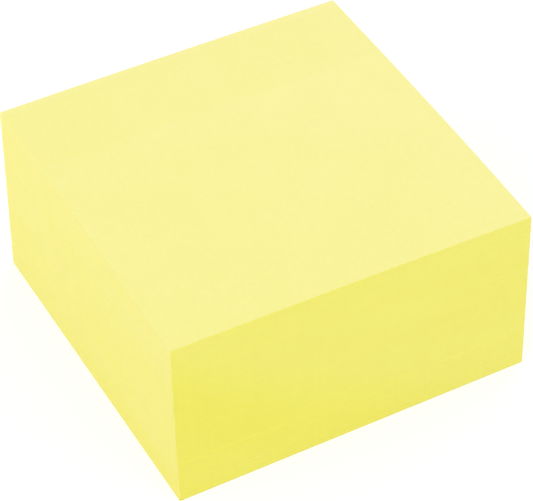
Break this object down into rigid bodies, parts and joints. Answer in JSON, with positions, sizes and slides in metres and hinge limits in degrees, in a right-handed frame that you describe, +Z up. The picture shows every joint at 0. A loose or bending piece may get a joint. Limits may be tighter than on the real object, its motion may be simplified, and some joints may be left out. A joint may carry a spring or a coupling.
{
  "type": "sticky note pad",
  "caption": "Thick square pad of plain yellow sticky notes, gummed along an edge, on a backing sheet.",
  "frame": {"origin": "middle of the underside, on the surface that the pad rests on", "axes": "+X along the free front edge of the notes, +Y towards the gummed edge at the back, +Z up out of the top note"},
  "size_m": [0.076, 0.076, 0.0393],
  "materials": {
    "note_paper": "matte",
    "adhesive": "satin",
    "backing_paper": "satin"
  },
  "bodies": {
    "root": {"note_stack": "note_paper", "adhesive_strip": "adhesive", "backing_sheet": "backing_paper"}
  },
  "joints": []
}
